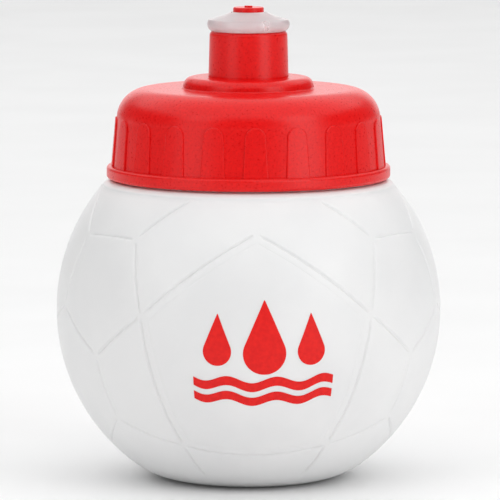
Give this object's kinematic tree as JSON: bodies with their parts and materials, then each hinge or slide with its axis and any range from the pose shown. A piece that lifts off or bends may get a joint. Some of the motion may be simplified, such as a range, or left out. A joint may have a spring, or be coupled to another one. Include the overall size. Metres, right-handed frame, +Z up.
{
  "type": "sports squeeze bottle",
  "caption": "Ball-shaped squeeze bottle with moulded ball-panel seams, a flat base, a screw lid with a ring of raised finger grips, and a push-pull drinking valve that closes on a central plug.",
  "frame": {"origin": "centre of the flat base, on the surface that the bottle stands on", "axes": "+Z up along the axis of the ball, neck, lid and valve; -Y towards the front, where the large print panel is; +X to the right as seen from the front"},
  "size_m": [0.102, 0.102, 0.1255],
  "materials": {
    "bottle_plastic": "soft milky low-density polyethylene, slightly see-through, satin",
    "lid_plastic": "moulded red polyethylene with a fine satin texture",
    "gasket_foam": "closed-cell foam washer, matt",
    "valve_plastic": "soft see-through natural polyethylene"
  },
  "bodies": {
    "bottle": {"bottle_body": "bottle_plastic"},
    "gasket": {"lid_gasket": "gasket_foam"},
    "lid": {"screw_lid": "lid_plastic"},
    "valve": {"pull_valve": "valve_plastic"}
  },
  "joints": [
    {"name": "lid_rise", "type": "slide", "parent": "bottle", "child": "gasket", "axis": [0, 0, 1], "range_m": [0, 0.00675]},
    {"name": "lid_turn", "type": "hinge", "parent": "gasket", "child": "lid", "pos_m": [0, 0, 0.08], "axis": [0, 0, 1], "range_deg": [0, 540]},
    {"name": "valve_pull", "type": "slide", "parent": "lid", "child": "valve", "axis": [0, 0, 1], "range_m": [0, 0.006]}
  ],
  "couplings": [
    {"joint": "lid_turn", "follows": "lid_rise", "rad_per_m": 1396.3}
  ]
}
